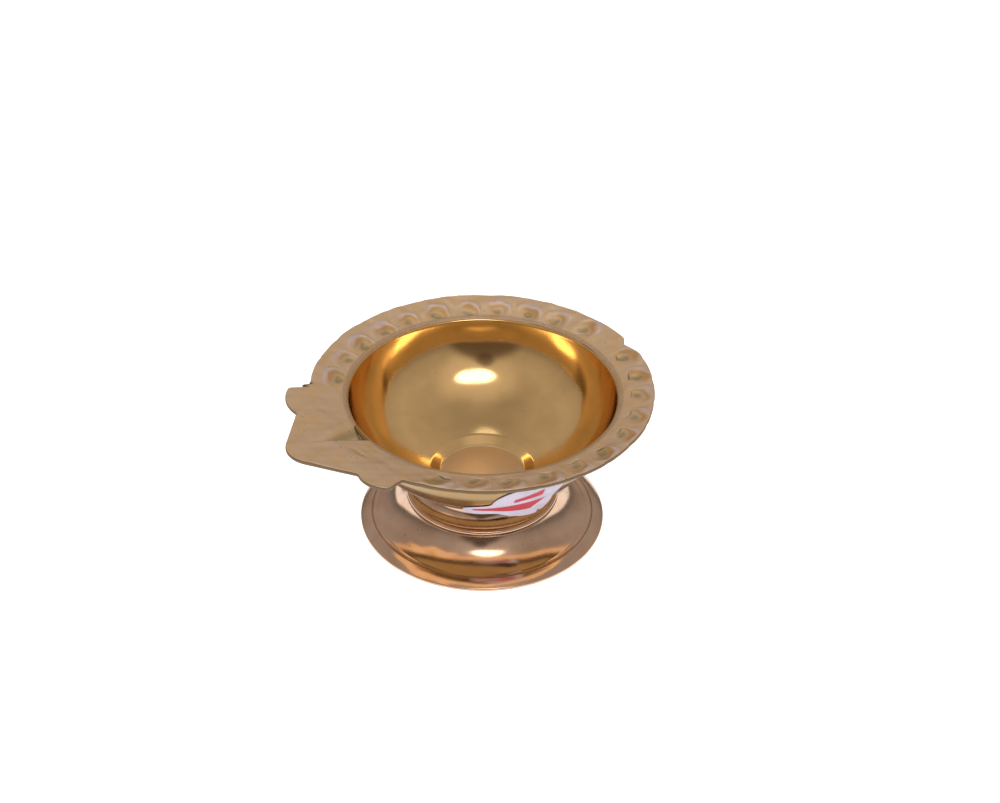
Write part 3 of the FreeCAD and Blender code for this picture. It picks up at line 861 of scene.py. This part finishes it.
def rim_faces(sizes):
    """Grid of the rim and its marks, painted shade and highlights among them: the top from over the cup's
    lip out, the edge, the underside.

    The top is z = start + slope * (r - hole), with 12 degrees of slope to the round rim passing
    softly into 5 beyond, less the channel and a dent, plus the struck pattern and a slow wave. The
    underside is 0.8 mm lower outside the hole and 0.2 mm lower over the lip.
    """
    angle = np.linspace(-180, 180, 1200, endpoint=False)
    edge = outline(angle)
    at_hole = spout_channel(HOLE * np.sin(np.radians(angle)), HOLE) * (np.abs(angle) < 90)
    beside_cup = WALL_CENTRE[0] + np.sqrt(WALL_SEAT**2 - (WALL_CENTRE[1] - RIM_START_Z + at_hole) ** 2)
    inner = INNER_LIP + (beside_cup - INNER_LIP) * smooth_between(at_hole, 0.05, 0.4)
    out = np.linspace(0, 1, 62)
    radius = inner + np.outer(out, edge - 0.12 - inner)
    turned_by = np.radians(np.broadcast_to(angle, radius.shape))
    x = radius * np.sin(turned_by)
    y = -radius * np.cos(turned_by)
    beyond = 1.2 * np.logaddexp(0, (radius - ROUND_RIM + 0.05) / 1.2)
    plain = RIM_START_Z + (radius - HOLE) * RIM_SLOPE
    plain -= beyond * (RIM_SLOPE - SPOUT_SLOPE)
    channel = spout_channel(x, radius) * (y < 0)
    dent = 0.16 * np.exp(-(((np.broadcast_to(angle, radius.shape) - 10) / 3.2) ** 2))
    dent = dent * np.exp(-(((radius - 28.8) / 0.55) ** 2))
    pattern, hollow, arch_shade, crest, hook = struck_pattern(
        np.broadcast_to(angle, radius.shape), radius, sizes.motif_cells
    )
    fade = smooth_between(np.broadcast_to(edge, radius.shape) - radius, 0.05, 0.6)
    fade = fade * smooth_between(radius, INNER_LIP + 0.4, INNER_LIP + 1.0)
    relief = pattern * fade * sizes.motif_depth / MM
    points = np.stack([x, y, plain], axis=2)
    wave = ripple(points, 5.5, 31) + 0.5 * ripple(points, 2.6, 32)
    wave = wave * smooth_between(radius, HOLE, HOLE + 0.8) * sizes.rim_unevenness / MM
    smooth_top = plain - channel - dent
    top = smooth_top + np.minimum(relief, 0.18) + wave
    under = smooth_top - 0.2 - (RIM_THICK - 0.2) * smooth_between(radius, HOLE - 0.1, HOLE + 0.1)
    roll = np.clip((INNER_LIP + 0.5 - radius) / 0.5, 0, 1)
    top -= 0.12 * roll * roll
    rows_top = np.stack([x, y, top], axis=2)
    rows_under = np.stack([x, y, under], axis=2)[::4][::-1]
    rim_x = edge * np.sin(np.radians(angle))
    rim_y = -edge * np.cos(np.radians(angle))
    lift = top[-1] - under[-1]
    bend = [(0.7, 0.86), (1.0, 0.6), (1.0, 0.35), (0.7, 0.12)]
    rounding = []
    for share, height in bend:
        pull = 1 - 0.12 * (1 - share) / edge
        rounding.append(np.stack([rim_x * pull, rim_y * pull, under[-1] + lift * height], axis=1))
    grid = np.concatenate([rows_top, np.array(rounding), rows_under])
    # Painted shadow lines along the leaves' hooks; this dirt mask is mostly painted shade.
    dirt = 0.9 * hook * fade
    patches = smooth_between(ripple(points, 9.0, 41), 0.1, 1.2)
    seam = np.clip(1 - (radius - INNER_LIP) / 0.4, 0, 1)
    # Dirt and painted shade along the seam with the cup.
    dirt = np.maximum(dirt, seam * (0.3 + 0.5 * patches))
    # Painted shade on the band next to the cup's lip.
    dirt = np.maximum(dirt, 0.5 * smooth_between(-radius, -25.6, -24.8))
    front = np.exp(-(((np.broadcast_to(angle, radius.shape) - 52) / 22) ** 2))
    # Painted shade: a dark line along the lip at the front.
    dirt = np.maximum(dirt, 1.2 * front * np.clip(1 - (radius - INNER_LIP) / 0.22, 0, 1))
    burr = np.exp(-(((np.broadcast_to(angle, radius.shape) + 33.5) / 2.2) ** 2))
    dirt = np.maximum(dirt, burr * smooth_between(radius - edge, -1.1, -0.3))
    crease = np.clip(channel / 2.0, 0, 1) ** 2 * (radius < 27.5)
    # Painted shade in the channel's crease.
    dirt = np.maximum(dirt, crease * 0.5)
    # Olive patina and painted shade in the leaf hollows and on the channel's far flank.
    olive = np.maximum(hollow, 0.75 * np.exp(-(((channel - 0.75) / 0.45) ** 2)) * (channel > 0.05))
    # The four edge rows are painted fully dark, and the underside carries 0.3 of the top's dark marks.
    spread = [dirt, np.full((4, len(angle)), 1.0), dirt[::4][::-1] * 0.3]
    marks = {"grime": np.concatenate(spread)}
    # The arch marks paint shade on the arches, the crest marks a highlight on the crests.
    for name, mark in (("tarnish", olive), ("arch", arch_shade * fade), ("worn", crest * fade)):
        marks[name] = np.concatenate([mark, np.zeros((4, len(angle))), mark[::4][::-1] * 0.2])
    return grid, marks


class LAMP_OT_rim(bpy.types.Operator):
    """Shape the rim with its spout, ears, wick channel, nick and struck leaves"""

    bl_idname = "lamp.rim"
    bl_label = "Rim and spout"

    def execute(self, context):
        grid, marks = rim_faces(context.scene.lamp_sizes)
        piece = add_surface("struck_rim_and_spout", inside_box(grid), True, marks)
        place(piece, struck_rim(context.scene.lamp_colours), "rim_flange")
        return {"FINISHED"}


class LAMP_OT_braze(bpy.types.Operator):
    """Give the three brazed joints their dull finish"""

    bl_idname = "lamp.braze"
    bl_label = "Brazed joints"

    def execute(self, context):
        material = braze_finish(context.scene.lamp_colours)
        for name in ("rim_braze", "cup_braze", "foot_braze"):
            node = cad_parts[name]
            node.data.materials.clear()
            node.data.materials.append(material)
        return {"FINISHED"}


# ---------------------------------------------------------------- the label


# The label's soft corners: direction from its middle in degrees, how far each stands out past the
# round part, and how wide it is on either side. The second is the point drawn out to one side.
LABEL_CORNERS = [(40, 3.7, 34, 34), (189, 5.3, 8, 23), (320, 3.4, 34, 34)]
LABEL_ROUND = 5.0


def label_edge(angle):
    """Distance to the label's edge: LABEL_ROUND plus reach * exp(-(turn / width)^2) per corner."""
    edge = np.full(angle.shape, LABEL_ROUND)
    for direction, reach, before, after in LABEL_CORNERS:
        turn = (angle - direction + 180) % 360 - 180
        edge += reach * np.exp(-((turn / np.where(turn < 0, before, after)) ** 2))
    return edge - 0.7 * np.exp(-(((angle - 312) / 2.2) ** 2))


def label_grid():
    """The label as a bent sheet: rings from its middle on the front, then back on the back.

    A point a sideways and b upwards of the middle stands at the bearing -18 degrees + a / 22. Above
    the middle it follows the cup's wall, an arc of radius R, so its distance from the axis is
    shift + R cos(lean - b/R) and its height centre - R sin(lean - b/R). Below, it hangs straight on
    from there, curling out by 0.022 b^2.
    """
    rings = np.linspace(0, 1, 34)
    angle = np.linspace(-24, 336, 220, endpoint=False)
    edge = label_edge(angle)
    across = 0.5 + np.outer(rings, edge * np.cos(np.radians(angle)))
    upward = np.outer(rings, edge * np.sin(np.radians(angle)))
    reach = WALL_SEAT + 0.05
    lean = math.asin((WALL_CENTRE[1] - 18.5) / reach)
    turned_up = lean - np.maximum(upward, 0) / reach
    down = np.minimum(upward, 0)
    radius = WALL_CENTRE[0] + reach * np.cos(turned_up) + down * math.sin(lean) + 0.022 * down**2
    height = WALL_CENTRE[1] - reach * np.sin(turned_up) + down * math.cos(lean)
    flat = np.stack([across, upward, 0 * across], axis=2)
    radius = radius + 0.12 * ripple(flat, 6.0, 51) * smooth_between(-upward, 0.5, 4)
    bearing = math.radians(-18) + across / 22
    sheets = []
    for offset in (0.09, 0.0):
        out = radius + offset
        sheets.append(np.stack([out * np.cos(bearing), out * np.sin(bearing), height], axis=2))
    grid = np.concatenate([sheets[0], sheets[1][::-1]])
    return grid, np.concatenate([across, across[::-1]]), np.concatenate([upward, upward[::-1]])


class LAMP_OT_label(bpy.types.Operator):
    """Stick the round paper label under the rim"""

    bl_idname = "lamp.label"
    bl_label = "Paper label"

    def execute(self, context):
        grid, across, upward = label_grid()
        values = {"across": across, "upward": upward}
        piece = add_surface("round_paper_label", grid, False, values)
        place(piece, printed_paper(context.scene.lamp_colours), "paper_label")
        return {"FINISHED"}


# ---------------------------------------------------------------- stage


def add_camera():
    """A long lens looking down at the lamp from its spout side."""
    turn = math.radians(145.604)
    pitch = math.radians(35.208)
    roll = math.radians(0.842)
    ahead = Vector((math.cos(turn) * math.cos(pitch), math.sin(turn) * math.cos(pitch), -math.sin(pitch)))
    right = ahead.cross(Vector((0, 0, 1))).normalized()
    up = right.cross(ahead)
    tilted_right = math.cos(roll) * right + math.sin(roll) * up
    tilted_up = math.cos(roll) * up - math.sin(roll) * right
    data = bpy.data.cameras.new("lamp_camera")
    data.lens = 72
    data.sensor_width = 36
    camera = bpy.data.objects.new("lamp_camera", data)
    bearing = math.radians(326.2)
    spot = Vector((0.29228 * math.cos(bearing), 0.29228 * math.sin(bearing), 0.23152))
    camera.matrix_world = Matrix((
        (tilted_right.x, tilted_up.x, -ahead.x, spot.x),
        (tilted_right.y, tilted_up.y, -ahead.y, spot.y),
        (tilted_right.z, tilted_up.z, -ahead.z, spot.z),
        (0, 0, 0, 1),
    ))
    bpy.context.scene.collection.objects.link(camera)
    bpy.context.scene.camera = camera


def add_softbox(name, bearing, elevation, distance, size, power):
    """A wide area light at a bearing and elevation from the lamp, facing it."""
    data = bpy.data.lights.new(name, "AREA")
    data.shape = "ELLIPSE"
    data.size, data.size_y = size
    data.energy = power
    light = bpy.data.objects.new(name, data)
    way = Vector(toward(bearing, elevation))
    facing = way.to_track_quat("Z", "Y").to_matrix().to_4x4()
    light.matrix_world = Matrix.Translation(way * distance) @ facing
    bpy.context.scene.collection.objects.link(light)


def toward(bearing, elevation):
    """The unit vector at a bearing and elevation, in degrees."""
    flat = math.cos(math.radians(elevation))
    turn = math.radians(bearing)
    return (flat * math.cos(turn), flat * math.sin(turn), math.sin(math.radians(elevation)))


def nearness(finish, way, bearing, elevation):
    """The cosine of the angle between a direction and the one at a bearing and elevation."""
    middle = toward(bearing, elevation)
    return finish.node("ShaderNodeVectorMath", {"operation": "DOT_PRODUCT"}, {0: way, 1: middle}, 1)


def add_room(brightness):
    """A pale room: a level by height, a glow round the key light, a dark patch and a dark low side.

    Glow, patch and low side each run smoothly between two values of the cosine from their middle.
    """
    f = Finish("pale_room", bpy.data.worlds)
    way = f.node("ShaderNodeTexCoord", {}, {}, "Generated")
    height = f.node("ShaderNodeSeparateXYZ", {}, {0: way}, "Z")
    stops = [(0.0, 0.16), (0.1, 0.3), (0.28, 0.56), (0.55, 0.68), (0.85, 0.6), (1.0, 0.46)]
    level = f.node("ShaderNodeValToRGB", {"stops": stops}, {0: height})
    glow = f.between(nearness(f, way, 334, 52), 0.75, 1.0)
    patch = f.between(nearness(f, way, 324, 30), 0.982, 0.996)
    low_side = f.between(nearness(f, way, 326, 0), 0.8, 0.92)
    tint = f.mix(glow * 0.6, level, (1.1, 1.1, 1.1, 1.0))
    tint = f.mix(patch * 0.7, tint, (0.06, 0.03, 0.03, 1.0))
    tint = f.mix(low_side * 0.8, tint, (0.1, 0.07, 0.05, 1.0))
    multiply = {"data_type": "RGBA", "blend_type": "MULTIPLY"}
    tint = f.node("ShaderNodeMix", multiply, {0: 1.0, 6: tint, 7: (0.76, 0.69, 0.67, 1.0)}, 2)
    shine = f.node("ShaderNodeBackground", {}, {"Color": tint, "Strength": brightness})
    f.node("ShaderNodeOutputWorld", {}, {"Surface": shine})
    bpy.context.scene.world = f.owner


class LAMP_OT_stage(bpy.types.Operator):
    """Set the pale floor, the soft light and the camera"""

    bl_idname = "lamp.stage"
    bl_label = "Stage"

    def execute(self, context):
        stage = context.scene.lamp_stage
        mesh = bpy.data.meshes.new("floor")
        angle = np.linspace(0, 2 * math.pi, 96, endpoint=False)
        rim = np.stack([3 * np.cos(angle), 3 * np.sin(angle), np.full(96, CAD_LOW.z)], axis=1)
        mesh.from_pydata(rim.tolist(), [], [list(range(96))])
        mesh.materials.append(pale_floor())
        floor = bpy.data.objects.new("floor", mesh)
        context.scene.collection.objects.link(floor)
        add_softbox("key_softbox", 334, 52, 0.9, (0.5, 0.24), stage.key_power)
        add_softbox("fill_softbox", 150, 70, 0.9, (0.3, 0.3), stage.fill_power)
        add_room(stage.room_light)
        add_camera()
        context.scene.view_settings.view_transform = "Standard"
        return {"FINISHED"}


# ---------------------------------------------------------------- panel and registration


class LAMP_PT_parts(bpy.types.Panel):
    """Lists the lamp's pieces and its sizes, colours and lights"""

    bl_idname = "LAMP_PT_parts"
    bl_label = "Oil Lamp"
    bl_space_type = "VIEW_3D"
    bl_region_type = "UI"
    bl_category = "Oil Lamp"

    def draw(self, context):
        column = self.layout.column()
        for operator in PIECES:
            column.operator(operator.bl_idname)
        for group in (context.scene.lamp_sizes, context.scene.lamp_colours, context.scene.lamp_stage):
            box = self.layout.box()
            for name in group.__annotations__:
                box.prop(group, name)


PIECES = [LAMP_OT_foot, LAMP_OT_collar, LAMP_OT_cup, LAMP_OT_rim, LAMP_OT_braze, LAMP_OT_label]
PIECES += [LAMP_OT_stage]
CLASSES = [LampSizes, LampColours, LampStage] + PIECES + [LAMP_PT_parts]


def register():
    for kind in CLASSES:
        bpy.utils.register_class(kind)
    bpy.types.Scene.lamp_sizes = bpy.props.PointerProperty(type=LampSizes)
    bpy.types.Scene.lamp_colours = bpy.props.PointerProperty(type=LampColours)
    bpy.types.Scene.lamp_stage = bpy.props.PointerProperty(type=LampStage)


def unregister():
    del bpy.types.Scene.lamp_stage
    del bpy.types.Scene.lamp_colours
    del bpy.types.Scene.lamp_sizes
    for kind in reversed(CLASSES):
        bpy.utils.unregister_class(kind)


def main():
    register()
    bpy.ops.lamp.stage()
    bpy.ops.lamp.foot()
    bpy.ops.lamp.collar()
    bpy.ops.lamp.cup()
    bpy.ops.lamp.rim()
    bpy.ops.lamp.braze()
    bpy.ops.lamp.label()


if __name__ == "__main__":
    main()
